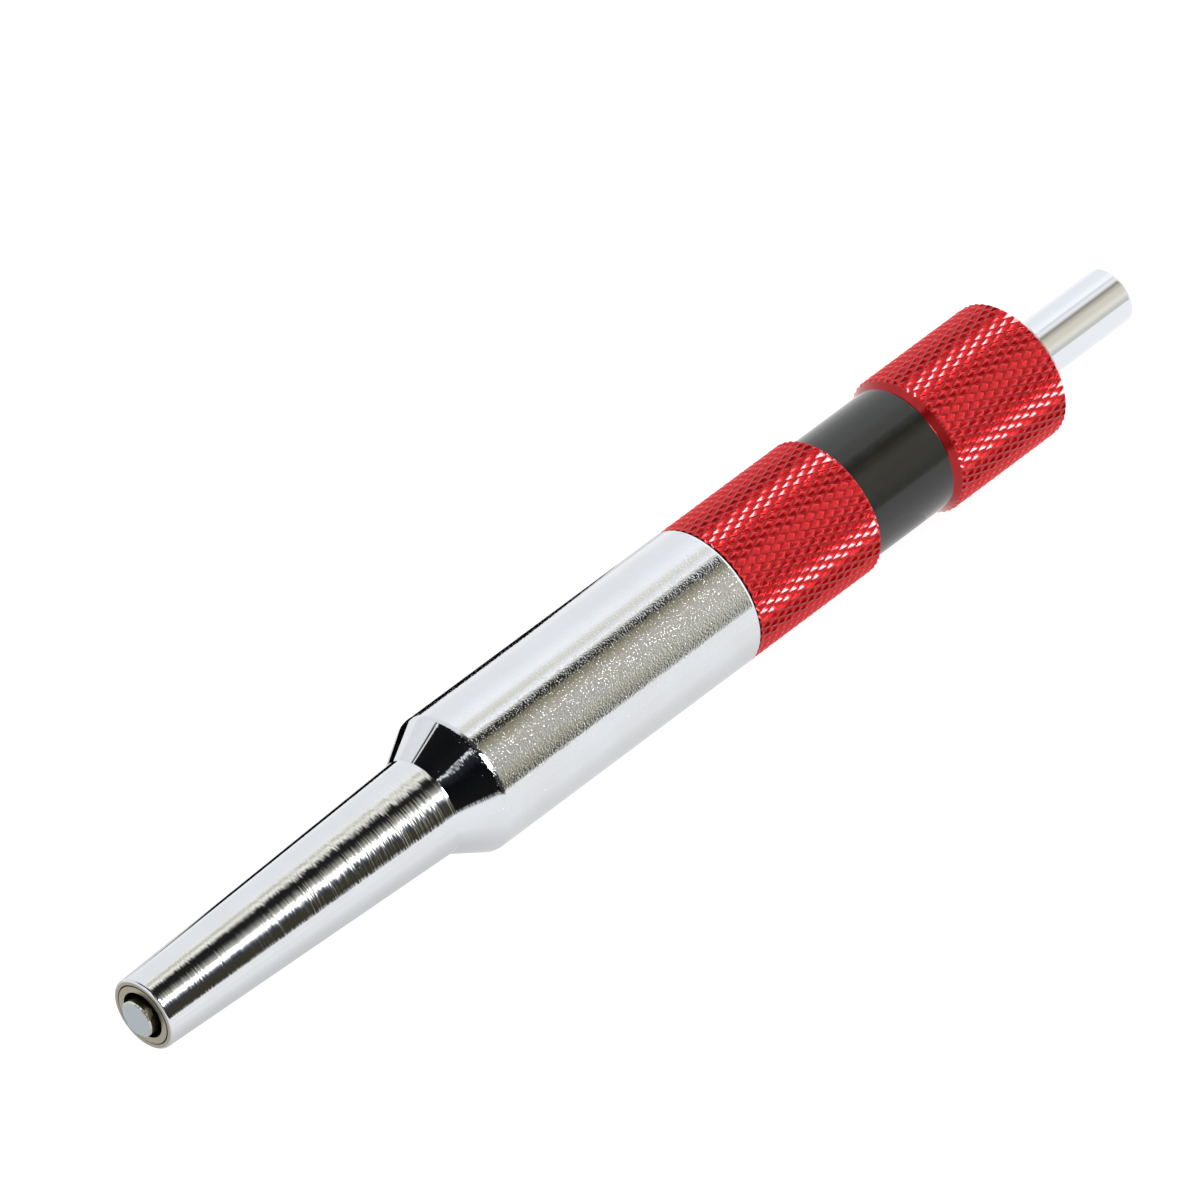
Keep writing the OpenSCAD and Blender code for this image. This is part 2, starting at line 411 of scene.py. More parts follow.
@dataclass(frozen=True)
class ChromePlate(Finish):
    """Bright chrome over turned steel: a mirror, with sparkling pits on the barrel and rings on the nose.

    Attributes:
        tint: Colour of the clean plating.
        haze: Colour of the plating where it is smeared.
        haze_mm: Width of the smears.
        gloss: Roughness of the clean plating.
        haze_gloss: Roughness of the plating where it is smeared.
        pit_mm: Spacing of the fine pits in the barrel, drawn a little coarse so that they show.
        pit_shares: Shares of the spacing at which the floor and the rim of a pit lie.
        pit_depth_mm: Depth of those pits.
        pit_gloss: Roughness in a pit.
        peel_mm: Width of the ripples of the barrel's plating.
        peel_depth_mm: Depth of those ripples.
        line_mm: Spacing of the turning lines, drawn a little coarse so that they show.
        line_depth_mm: Depth of those lines.
        patch_mm: Length of the stretches in which they are deeper or shallower.
        tip_mm: Place of the tip, where the turning lines are finest.
        tip_gain: Factor on their depth there.
        cone_mm: Place of the front end of the cone, where they are coarsest.
        root_gain: Factor on their depth there.
        cone_gain: Change of that factor on the cone.
        lines_end_mm: Place along the axis behind which the turning lines are polished away.
        fade_mm: Length over which the lines change there and at the cone.
    """

    name: str = "chrome_plate_on_turned_steel"
    tint: str = "#D2D6DB"
    haze: str = "#CBCBCC"
    haze_mm: float = 7.0
    gloss: float = 0.035
    haze_gloss: float = 0.056
    pit_mm: float = 0.36
    pit_shares: tuple[float, float] = (0.2, 0.28)
    pit_depth_mm: float = 0.001
    pit_gloss: float = 0.29
    peel_mm: float = 0.3
    peel_depth_mm: float = 0.007
    line_mm: float = 0.45
    line_depth_mm: float = 0.02
    patch_mm: float = 2.0
    tip_mm: float = -107.0
    tip_gain: float = 0.5
    cone_mm: float = -46.4
    root_gain: float = 1.4
    cone_gain: float = -0.25
    lines_end_mm: float = -40.0
    fade_mm: float = 1.0

    def dress(self, tree: bpy.types.NodeTree, shader: bpy.types.Node, place: bpy.types.NodeSocket) -> None:
        """Adds smears all over, turning lines on the nose, and ripples and pits on the barrel.

        Args:
            tree: The material's node tree.
            shader: Its shader.
            place: Socket with the place on the piece, in millimetres.
        """
        along = add_node(tree, "ShaderNodeSeparateXYZ", {0: place}).outputs["X"]
        smear = add_node(tree, "ShaderNodeTexNoise", {
            "Vector": place, "Scale": 1 / self.haze_mm, "Detail": 3.0})
        color = add_node(tree, "ShaderNodeMix", {
            0: smear.outputs["Fac"], 6: linear(self.tint), 7: linear(self.haze)}, data_type="RGBA")
        rough = add_node(tree, "ShaderNodeMapRange", {
            "Value": smear.outputs["Fac"], "To Min": self.gloss, "To Max": self.haze_gloss})
        on_nose = add_node(tree, "ShaderNodeMapRange", {
            "Value": along, "From Min": self.lines_end_mm - self.fade_mm, "From Max": self.lines_end_mm,
            "To Min": 1.0, "To Max": 0.0})
        lines = add_node(tree, "ShaderNodeTexNoise", {
            "W": along, "Scale": 1 / self.line_mm, "Detail": 2.0}, noise_dimensions="1D")
        patches = add_node(tree, "ShaderNodeTexNoise", {
            "W": along, "Scale": 1 / self.patch_mm, "Detail": 1.0}, noise_dimensions="1D")
        growth = add_node(tree, "ShaderNodeMapRange", {
            "Value": along, "From Min": self.tip_mm, "From Max": self.cone_mm,
            "To Min": self.tip_gain, "To Max": self.root_gain})
        grown = add_node(tree, "ShaderNodeMath", {0: growth.outputs[0], 1: patches.outputs["Fac"]},
                         operation="MULTIPLY")
        on_cone = add_node(tree, "ShaderNodeMapRange", {
            "Value": along, "From Min": self.cone_mm - self.fade_mm / 2,
            "From Max": self.cone_mm + self.fade_mm / 2, "To Max": self.cone_gain})
        depth = add_node(tree, "ShaderNodeMath", {0: grown.outputs[0], 1: on_cone.outputs[0]},
                         operation="ADD")
        scored = add_node(tree, "ShaderNodeMath", {0: lines.outputs["Fac"], 1: depth.outputs[0]},
                          operation="MULTIPLY")
        lined = add_node(tree, "ShaderNodeBump", {
            "Strength": on_nose.outputs[0], "Height": scored.outputs[0],
            "Distance": self.line_depth_mm * MM})
        on_barrel = add_node(tree, "ShaderNodeMath", {0: 1.0, 1: on_nose.outputs[0]}, operation="SUBTRACT")
        pits = add_node(tree, "ShaderNodeTexVoronoi", {"Vector": place, "Scale": 1 / self.pit_mm})
        pitted = add_node(tree, "ShaderNodeMapRange", {
            "Value": pits.outputs["Distance"], "From Min": self.pit_shares[0],
            "From Max": self.pit_shares[1], "To Min": on_barrel.outputs[0], "To Max": 0.0})
        ripples = add_node(tree, "ShaderNodeTexNoise", {
            "Vector": place, "Scale": 1 / self.peel_mm, "Detail": 0.0})
        rippled = add_node(tree, "ShaderNodeBump", {
            "Strength": on_barrel.outputs[0], "Height": ripples.outputs["Fac"],
            "Distance": self.peel_depth_mm * MM, "Normal": lined.outputs["Normal"]})
        peeled = add_node(tree, "ShaderNodeBump", {
            "Height": pitted.outputs[0], "Distance": self.pit_depth_mm * MM,
            "Normal": rippled.outputs["Normal"]})
        gloss = add_node(tree, "ShaderNodeMix", {
            0: pitted.outputs[0], 2: rough.outputs[0], 3: self.pit_gloss})
        tree.links.new(color.outputs[2], shader.inputs["Base Color"])
        tree.links.new(gloss.outputs[0], shader.inputs["Roughness"])
        tree.links.new(peeled.outputs["Normal"], shader.inputs["Normal"])
        shader.inputs["Metallic"].default_value = 1.0


@dataclass(frozen=True)
class TurnedMetal(Finish):
    """Bare metal with the rings that a lathe tool leaves: a soft sheen that spreads across the rings.

    Attributes:
        light: Colour on the crests of the rings.
        dark: Colour between them.
        ring_mm: Spacing of the rings on a face.
        ring_depth_mm: Depth of the rings.
        gloss: Roughness.
    """

    light: str = "#C2BDAC"
    dark: str = "#9C9584"
    ring_mm: float = 0.09
    ring_depth_mm: float = 0.002
    gloss: float = 0.3

    def dress(self, tree: bpy.types.NodeTree, shader: bpy.types.Node, place: bpy.types.NodeSocket) -> None:
        """Adds rings that follow the lathe tool along the piece and across its faces.

        Args:
            tree: The material's node tree.
            shader: Its shader.
            place: Socket with the place on the piece, in millimetres.
        """
        along = add_node(tree, "ShaderNodeSeparateXYZ", {0: place}).outputs["X"]
        track = add_node(tree, "ShaderNodeMath", {0: self.distance(tree, place), 1: along}, operation="ADD")
        lines = add_node(tree, "ShaderNodeTexNoise", {
            "W": track.outputs[0], "Scale": 1 / self.ring_mm, "Detail": 2.0}, noise_dimensions="1D")
        color = add_node(tree, "ShaderNodeMix", {
            0: lines.outputs["Fac"], 6: linear(self.dark), 7: linear(self.light)}, data_type="RGBA")
        bump = add_node(tree, "ShaderNodeBump", {
            "Height": lines.outputs["Fac"], "Distance": self.ring_depth_mm * MM})
        tree.links.new(color.outputs[2], shader.inputs["Base Color"])
        tree.links.new(bump.outputs["Normal"], shader.inputs["Normal"])
        shader.inputs["Metallic"].default_value = 1.0
        shader.inputs["Roughness"].default_value = self.gloss


@dataclass(frozen=True)
class RedAnodising(Finish):
    """Red anodised aluminium: dyed oxide over bright metal, so its gloss is pale and its depth is red.

    Attributes:
        crest: Colour at the crests of the knurl, the light end of the ramp of painted shade.
        valley_shade: Colour at the bottom of the knurl: painted shade in its valleys.
        valley_r: Distance from the axis of the bottom of the knurl, in millimetres.
        crest_r: Distance from the axis of its crests.
        mottle_mm: Width of the uneven patches of dye.
        gloss_ends: Roughness of the metal under the oxide, at its smoothest and its roughest.
        metallic: Share of the metal that shows through the dye.
        specular: Gloss of the dye itself.
        oxide_gloss: Roughness of the clear oxide.
        oxide_ior: IOR of the clear oxide, which is porous and so bends light little.
    """

    name: str = "red_anodised_aluminium_knurled"
    crest: str = "#D8161E"
    valley_shade: str = "#9C0B11"
    valley_r: float = 11.6
    crest_r: float = 12.0
    mottle_mm: float = 0.25
    gloss_ends: tuple[float, float] = (0.16, 0.24)
    metallic: float = 0.7
    specular: float = 0.15
    oxide_gloss: float = 0.08
    oxide_ior: float = 1.28

    def dress(self, tree: bpy.types.NodeTree, shader: bpy.types.Node, place: bpy.types.NodeSocket) -> None:
        """Adds red dye, darker towards the bottom of the knurl as painted shade, uneven metal and a clear
        oxide.

        Args:
            tree: The material's node tree.
            shader: Its shader.
            place: Socket with the place on the piece, in millimetres.
        """
        # The red is painted darker towards the bottom of the knurl: painted shade in its valleys
        height = add_node(tree, "ShaderNodeMapRange", {
            "Value": self.distance(tree, place), "From Min": self.valley_r, "From Max": self.crest_r})
        dye = add_node(tree, "ShaderNodeMix", {
            0: height.outputs[0], 6: linear(self.valley_shade), 7: linear(self.crest)}, data_type="RGBA")
        mottle = add_node(tree, "ShaderNodeTexNoise", {
            "Vector": place, "Scale": 1 / self.mottle_mm, "Detail": 2.0})
        rough = add_node(tree, "ShaderNodeMapRange", {
            "Value": mottle.outputs["Fac"], "To Min": self.gloss_ends[0], "To Max": self.gloss_ends[1]})
        tree.links.new(dye.outputs[2], shader.inputs["Base Color"])
        tree.links.new(rough.outputs[0], shader.inputs["Roughness"])
        shader.inputs["Metallic"].default_value = self.metallic
        shader.inputs["Specular IOR Level"].default_value = self.specular
        shader.inputs["Coat Weight"].default_value = 1.0
        shader.inputs["Coat Roughness"].default_value = self.oxide_gloss
        shader.inputs["Coat IOR"].default_value = self.oxide_ior


@dataclass(frozen=True)
class Polymer(Finish):
    """Vinyl film or rubber: an even colour under a smooth skin, with a faint wave from how it was pressed.

    Attributes:
        color: Its main colour.
        rubbed: Colour where it is rubbed.
        wave_mm: Width of the waves.
        wave_depth_mm: Depth of the waves.
        gloss: Roughness.
    """

    color: str = "#0B0C0A"
    rubbed: str = "#151613"
    wave_mm: float = 3.0
    wave_depth_mm: float = 0.01
    gloss: float = 0.12

    def dress(self, tree: bpy.types.NodeTree, shader: bpy.types.Node, place: bpy.types.NodeSocket) -> None:
        """Adds even colour with a faint wave.

        Args:
            tree: The material's node tree.
            shader: Its shader.
            place: Socket with the place on the piece, in millimetres.
        """
        wave = add_node(tree, "ShaderNodeTexNoise", {
            "Vector": place, "Scale": 1 / self.wave_mm, "Detail": 2.0})
        color = add_node(tree, "ShaderNodeMix", {
            0: wave.outputs["Fac"], 6: linear(self.color), 7: linear(self.rubbed)}, data_type="RGBA")
        bump = add_node(tree, "ShaderNodeBump", {
            "Height": wave.outputs["Fac"], "Distance": self.wave_depth_mm * MM})
        tree.links.new(color.outputs[2], shader.inputs["Base Color"])
        tree.links.new(bump.outputs["Normal"], shader.inputs["Normal"])
        shader.inputs["Roughness"].default_value = self.gloss


def built(finish: Finish) -> bpy.types.Material:
    """Declares a field that holds a finish's material, built when the finishes are."""
    return field(default_factory=finish.material)


@dataclass
class Finishes:
    """All finishes of the tool, each built once."""

    # A mirror that shows the studio, broken by rings on the nose and by ripples on the barrel
    chrome: bpy.types.Material = built(ChromePlate())
    # Warm grey with fine rings, dull beside the chrome
    bare_steel: bpy.types.Material = built(TurnedMetal("turned_bare_steel"))
    # Nearly black: painted shade on the faces seen in the joint gaps and in the groove of the mouth
    gap_shade: bpy.types.Material = built(TurnedMetal(
        "black_steel_painted_as_gap_shade", light="#1C1A18", dark="#100F0E",
        ring_mm=0.8, ring_depth_mm=0.05, gloss=0.5))
    # A clean mirror with hardly a ring
    rod_chrome: bpy.types.Material = built(TurnedMetal(
        "ground_hard_chrome", light="#D9DCE0", dark="#D2D5DA",
        ring_mm=0.2, ring_depth_mm=0.0004, gloss=0.04))
    # Pale and bluish, with a soft sheen
    zinc: bpy.types.Material = built(TurnedMetal(
        "bright_zinc_plate", light="#C9D2D6", dark="#B6C0C6",
        ring_mm=0.12, ring_depth_mm=0.001, gloss=0.32))
    # Bright and uneven, so that it glints in places
    sheared_edge: bpy.types.Material = built(TurnedMetal(
        "sheared_zinc_plated_edge", light="#D5D3C8", dark="#A9A698",
        ring_mm=0.35, ring_depth_mm=0.03, gloss=0.16))
    # Brown and dark: painted shade on the side of the driver pin in its bore
    bore_shade_steel: bpy.types.Material = built(TurnedMetal(
        "steel_painted_dark_as_bore_shade", light="#4A453B", dark="#38342C",
        ring_mm=0.3, ring_depth_mm=0.004, gloss=0.35))
    # Golden and dull, because its pores hold oil
    bronze: bpy.types.Material = built(TurnedMetal(
        "turned_sintered_bronze", light="#C39A62", dark="#A67F4B",
        ring_mm=0.12, ring_depth_mm=0.002, gloss=0.38))
    # Neutral grey with fine rings
    plain_steel: bpy.types.Material = built(TurnedMetal(
        "turned_plain_steel", light="#BDBEC0", dark="#A5A6A9",
        ring_mm=0.15, ring_depth_mm=0.002, gloss=0.32))
    # Darker grey, drawn smooth
    spring_steel: bpy.types.Material = built(TurnedMetal(
        "drawn_spring_wire", light="#9EA1A6", dark="#84878C",
        ring_mm=0.2, ring_depth_mm=0.001, gloss=0.3))
    # Deep red, painted darker in the valleys as shade, with pale glints on the crests of the knurl
    red: bpy.types.Material = built(RedAnodising())
    # Deep black that mirrors the room softly
    film: bpy.types.Material = built(Polymer("glossy_black_vinyl_film"))
    # The white core of the film, which shows as a thin pale line
    film_edge: bpy.types.Material = built(Polymer(
        "cut_edge_of_white_vinyl", color="#DADBD6", rubbed="#C8C9C4",
        wave_mm=0.5, wave_depth_mm=0.002, gloss=0.5))
    # Black and matt
    rubber: bpy.types.Material = built(Polymer(
        "moulded_nitrile_rubber", color="#1A1A1A", rubbed="#242424",
        wave_mm=0.4, wave_depth_mm=0.01, gloss=0.65))


@dataclass
class Barrel:
    """The chromed barrel with its tapered nose, and the guide bush in the mouth of the nose.

    Attributes:
        finishes: The tool's finishes.
        nose_tip_d: Diameter of the nose at its mouth.
        nose_root_d: Diameter of the nose at the shoulder.
        nose_len: Length of the nose.
        shoulder_len: Length of the conical shoulder.
        chamber_wall: Depth of solid metal between the shoulder and the spring chamber.
        bore_d: Diameter of the bore in the nose.
        tip_ease: Rounding of the outer edge of the mouth.
        shoulder_ease: Rounding of the edge between shoulder and barrel.
        root_ease: Rounding of the corner between nose and shoulder.
        rear_rim_len: Length of the shallow chamfer at the rear edge.
        rear_rim_drop: Depth of that chamfer.
        joint_edge: Chamfer of the small edges in the mouth.
        joint_width: Width of the groove where bush and nose meet.
        joint_depth: Depth of that groove.
    """

    finishes: Finishes
    nose_tip_d: float = 12.2
    nose_root_d: float = 16.5
    nose_len: float = 60.4
    shoulder_len: float = 6.8
    chamber_wall: float = 6.8
    bore_d: float = 7.9
    tip_ease: float = 0.5
    shoulder_ease: float = 0.5
    root_ease: float = 0.08
    rear_rim_len: float = 0.3
    rear_rim_drop: float = 0.025
    joint_edge: float = 0.05
    joint_width: float = 0.16
    joint_depth: float = 0.4

    def build(self) -> None:
        """Models the barrel and its bush."""
        bush = Extent.of("nose_bush")
        self.build_barrel(bush)
        self.build_bush(bush)

    def build_barrel(self, bush: Extent) -> None:
        """Models the barrel.

        Args:
            bush: Reach of the bush in its mouth.
        """
        reach = Extent.of("barrel")
        joint = Extent.of("handle").front
        shoulder = reach.front + self.nose_len + self.shoulder_len
        chamber = shoulder + self.chamber_wall
        seat_r = bush.radius + SEAT_CLEAR
        spigot_r = reach.radius - SPIGOT_WALL
        rim = joint - self.rear_rim_len
        barrel = turned("chromed_barrel", [
            Corner(reach.front, seat_r + self.joint_edge),
            Corner(reach.front, self.nose_tip_d / 2, self.tip_ease),
            Corner(reach.front + self.nose_len, self.nose_root_d / 2, self.root_ease),
            Corner(shoulder, reach.radius, self.shoulder_ease),
            Corner(rim, reach.radius),
            Corner(joint, reach.radius - self.rear_rim_drop),
            Corner(joint, spigot_r),
            Corner(reach.rear, spigot_r, self.shoulder_ease),
            Corner(reach.rear, CHAMBER_D / 2),
            Corner(chamber, CHAMBER_D / 2),
            Corner(chamber, self.bore_d / 2),
            Corner(bush.rear, self.bore_d / 2),
            Corner(bush.rear, seat_r),
            Corner(reach.front + self.joint_edge, seat_r),
        ], hollow=True)
        barrel.select(Pick.EDGE, lambda edge: all(
            abs(vert.co.x - rim) < SAME_POINT and off_axis(vert.co) > spigot_r for vert in edge.verts))
        bpy.ops.mesh.mark_sharp()
        # The rear face and the spigot are painted nearly black as the shade of the open joint with the
        # handle
        barrel.paint([self.finishes.chrome, self.finishes.bare_steel, self.finishes.gap_shade],
                     lambda face: self.finish_of(face, reach.front, joint))
        barrel.hand_over(Body.HOUSING, "barrel", "chrome_plate")

    def finish_of(self, face: bpy.types.MeshPolygon, front: float, joint: float) -> int:
        """Says which finish a face of the barrel has.

        Args:
            face: The face.
            front: Place of the mouth of the nose.
            joint: Place of the joint with the handle.

        Returns:
            0 for chrome, 1 for the bare mouth and 2 for the screwed spigot and the rear face, painted
            nearly black as the shade of the joint gap.
        """
        at_mouth = face.center.x < front + self.joint_edge and abs(face.normal.x) > END_FACE
        in_mouth = off_axis(face.center) < self.nose_tip_d / 2 - self.tip_ease
        if at_mouth or in_mouth:
            return 1
        return 2 if face.center.x > joint - SAME_POINT else 0

    def build_bush(self, bush: Extent) -> None:
        """Models the guide bush in the mouth of the nose.

        Args:
            bush: Reach of the bush.
        """
        ring = turned("nose_guide_bush", [
            Corner(bush.front, self.bore_d / 2, self.joint_edge),
            Corner(bush.front, bush.radius - self.joint_width),
            Corner(bush.front + self.joint_depth, bush.radius - self.joint_width),
            Corner(bush.front + self.joint_depth, bush.radius),
            Corner(bush.rear, bush.radius),
            Corner(bush.rear, self.bore_d / 2),
        ], hollow=True)
        groove_r = bush.radius - self.joint_width - SAME_POINT
        # The walls of the groove are painted nearly black as the shade in the groove
        ring.paint([self.finishes.bare_steel, self.finishes.gap_shade],
                   lambda face: int(off_axis(face.center) > groove_r))
        ring.hand_over(Body.HOUSING, "nose_bush", "bush_steel")


@dataclass
class Knurl:
    """A diamond knurl around a bar.

    Attributes:
        count: Diamonds around the bar.
        pitch: Length of a diamond along the bar.
        run: Width of a diamond's sloping side.
        depth: Depth of the grooves between the diamonds.
        bulge: Height by which a diamond's sloping side is rounded outwards.
        crest_ease: Rounding of the edges of a diamond's flat top.
        crest_steps: Flats across that rounding.
        valley_ease: Width of each of the strips that round the bottom of the grooves.
        valley_rise: Rise of the outer one of those strips.
    """

    count: int = 51
    pitch: float = 3.28
    run: float = 0.48
    depth: float = 0.36
    bulge: float = 0.024
    crest_ease: float = 0.02
    crest_steps: int = 2
    valley_ease: float = 0.035
    valley_rise: float = 0.012

    def bar(self, front: float, rear: float, radius: float) -> Workpiece:
        """Models a knurled bar that reaches past both places by up to a diamond.

        Args:
            front: Place that it reaches past at the front.
            rear: Place that it reaches past at the rear.
            radius: Distance of the diamonds' tops from the axis.

        Returns:
            The bar, closed at both ends, in edit mode.
        """
        valley_r = radius - self.depth
        rows = math.ceil((rear - front) / self.pitch) + 1
        start_x = (front + rear - rows * self.pitch) / 2
        end_x = start_x + rows * self.pitch
        bar = Workpiece("knurled_bar", bpy.ops.mesh.primitive_circle_add, vertices=self.count,
                        radius=valley_r, location=(start_x, 0, AXIS_Z), rotation=(0, math.pi / 2, 0))
        for _ in range(rows):
            bpy.ops.mesh.extrude_region_move(TRANSFORM_OT_translate={"value": (self.pitch, 0, 0)})
        bpy.ops.mesh.select_all(action="SELECT")
        bpy.ops.mesh.poke()
        centre_r = valley_r * math.cos(math.pi / self.count)
        bar.select(Pick.VERT, lambda vert: off_axis(vert.co) < centre_r + SAME_POINT)
        spread = valley_r / centre_r
        bpy.ops.transform.resize(value=(1, spread, spread), center_override=(0, 0, AXIS_Z))
        bar.select(Pick.EDGE, lambda edge: len(edge.link_faces) == 2 and self.is_straight(edge))
        bpy.ops.mesh.dissolve_edges(use_verts=False)
        bpy.ops.mesh.select_all(action="SELECT")
        bpy.ops.mesh.normals_make_consistent(inside=False)
        bpy.ops.mesh.inset(thickness=self.valley_ease, use_individual=True)
        bpy.ops.mesh.inset(thickness=self.valley_ease, depth=self.valley_rise, use_individual=True)
        rise = (self.depth - self.valley_rise) / 2
        for part in (rise + self.bulge, rise - self.bulge):
            bpy.ops.mesh.inset(thickness=self.run / 2, depth=part, use_individual=True)
        # Only the edges of the tops lie this far out: those half-way up the sides stay below
        top_r = radius - self.depth / 4
        bar.select(Pick.EDGE, lambda edge: all(off_axis(vert.co) > top_r for vert in edge.verts))
        bpy.ops.mesh.bevel(affect="EDGES", offset=self.crest_ease, segments=self.crest_steps)
        for end in (start_x, end_x):
            bar.select(Pick.EDGE, lambda edge: len(edge.link_faces) == 1 and all(
                abs(vert.co.x - end) < SAME_POINT for vert in edge.verts))
            bpy.ops.mesh.edge_face_add()
        bar.close()
        return bar

    def is_straight(self, edge: bmesh.types.BMEdge) -> bool:
        """Says whether an edge runs along the bar or straight around it, and not along a groove."""
        run = edge.verts[1].co - edge.verts[0].co
        return abs(run.x) < SAME_POINT or math.hypot(run.y, run.z) < SAME_POINT


@dataclass
class Handle:
    """The knurled handle, the label around its groove, and the bush at its rear end.

    Attributes:
        finishes: The tool's finishes.
        knurl: The knurl of both grips.
        joint_gap: Open joint between barrel and handle.
        joint_rim: Chamfer at the joint.
        front_rim: Chamfer at the rear end of the front grip.
        rear_rim: Chamfer at the rear end of the handle.
        front_grip_len: Length of the front grip.
        groove_len: Length of the groove with its sloping rear side.
        groove_depth: Depth of the groove.
        oversize: Amount by which the turned blank stands over the knurl.
        relief_play: Free play around the rod between its guide bushes.
        edge_ease: Rounding of small edges.
        label_gap: Angle of the open joint where the ends of the label meet.
    """

    finishes: Finishes
    knurl: Knurl = field(default_factory=Knurl)
    joint_gap: float = 0.45
    joint_rim: float = 0.1
    front_rim: float = 0.3
    rear_rim: float = 1.1
    front_grip_len: float = 27.4
    groove_len: float = 18.8
    groove_depth: float = 1.3
    oversize: float = 0.4
    relief_play: float = 0.6
    edge_ease: float = 0.15
    label_gap: float = math.radians(2.0)

    def build(self) -> None:
        """Models the handle, its label and its rear bush."""
        reach = Extent.of("handle")
        bush = Extent.of("rear_guide_bush")
        rod_r = Extent.of("striker_rod").radius
        groove_r = reach.radius - self.groove_depth
        self.build_handle(reach, groove_r, bush, rod_r)
        self.build_label(groove_r)
        self.build_bush(bush, rod_r)

    def build_handle(self, reach: Extent, groove_r: float, bush: Extent, rod_r: float) -> None:
        """Models the handle: a turned blank, of which what lies inside a knurled bar is kept.

        Args:
            reach: Reach of the handle.
            groove_r: Distance of the bottom of the groove from the axis.
            bush: Reach of the rear bush.
            rod_r: Radius of the rod.
        """
        front_bush = Extent.of("front_guide_bush")
        spigot_end = Extent.of("barrel").rear
        front = reach.front + self.joint_gap
        groove = reach.front + self.front_grip_len
        rear_grip = groove + self.groove_len
        blank_r = reach.radius + self.oversize
        spigot_r = reach.radius - SPIGOT_WALL + SEAT_CLEAR
        seat_r = bush.radius + SEAT_CLEAR
        relief_r = rod_r + self.relief_play
        handle = turned("knurled_handle", [
            Corner(front, spigot_r),
            Corner(front, reach.radius - self.joint_rim),
            Corner(front + self.joint_rim + self.oversize, blank_r),
            Corner(groove - self.front_rim - self.oversize, blank_r),
            Corner(groove, reach.radius - self.front_rim, self.edge_ease),
            Corner(groove, groove_r),
            Corner(rear_grip - self.groove_depth, groove_r, self.edge_ease),
            Corner(rear_grip + self.oversize, blank_r),
            Corner(reach.rear - self.rear_rim - self.oversize, blank_r),
            Corner(reach.rear, reach.radius - self.rear_rim, self.edge_ease),
            Corner(reach.rear, seat_r, self.edge_ease),
            Corner(bush.front, seat_r),
            Corner(bush.front, relief_r),
            Corner(front_bush.rear, relief_r),
            Corner(front_bush.rear, seat_r),
            Corner(front_bush.front, seat_r),
            Corner(front_bush.front, CHAMBER_D / 2),
            Corner(spigot_end, CHAMBER_D / 2),
            Corner(spigot_end, spigot_r),
        ], hollow=True)
        handle.carve(self.knurl.bar(reach.front, reach.rear, reach.radius), Cut.INSIDE)
        # The front face, seen in the open joint, is painted nearly black as the shade of that gap
        handle.paint([self.finishes.red, self.finishes.gap_shade],
                     lambda face: int(face.center.x < front + SAME_POINT))
        handle.hand_over(Body.HOUSING, "handle", "red_anodised")

    def build_label(self, groove_r: float) -> None:
        """Models the label, whose ends meet underneath.

        Args:
            groove_r: Distance of the bottom of the groove from the axis.
        """
        band = Extent.of("label_band")
        inner_r = groove_r + SEAT_CLEAR
        label = turned("label_film", [
            Corner(band.front, inner_r),
            Corner(band.front, band.radius),
            Corner(band.rear, band.radius),
            Corner(band.rear, inner_r),
        ], hollow=True, sweep=math.tau - self.label_gap)
        bpy.ops.mesh.select_all(action="DESELECT")
        bpy.ops.mesh.select_non_manifold()
        bpy.ops.mesh.edge_face_add()
        bpy.ops.mesh.select_all(action="SELECT")
        bpy.ops.mesh.normals_make_consistent(inside=False)
        label.paint([self.finishes.film, self.finishes.film_edge],
                    lambda face: int(abs(face.normal.x) > END_FACE))
        label.hand_over(Body.HOUSING, "label_band", "label_film")

    def build_bush(self, bush: Extent, rod_r: float) -> None:
        """Models the bush that guides the rod at the rear end.

        Args:
            bush: Reach of the bush.
            rod_r: Radius of the rod.
        """
        bore_r = rod_r + SEAT_CLEAR
        ring = turned("rear_rod_bush", [
            Corner(bush.front, bore_r),
            Corner(bush.front, bush.radius),
            Corner(bush.rear, bush.radius, self.edge_ease),
            Corner(bush.rear, bore_r, self.edge_ease),
        ], hollow=True)
        ring.paint([self.finishes.bronze])
        ring.hand_over(Body.HOUSING, "rear_guide_bush", "guide_bronze")


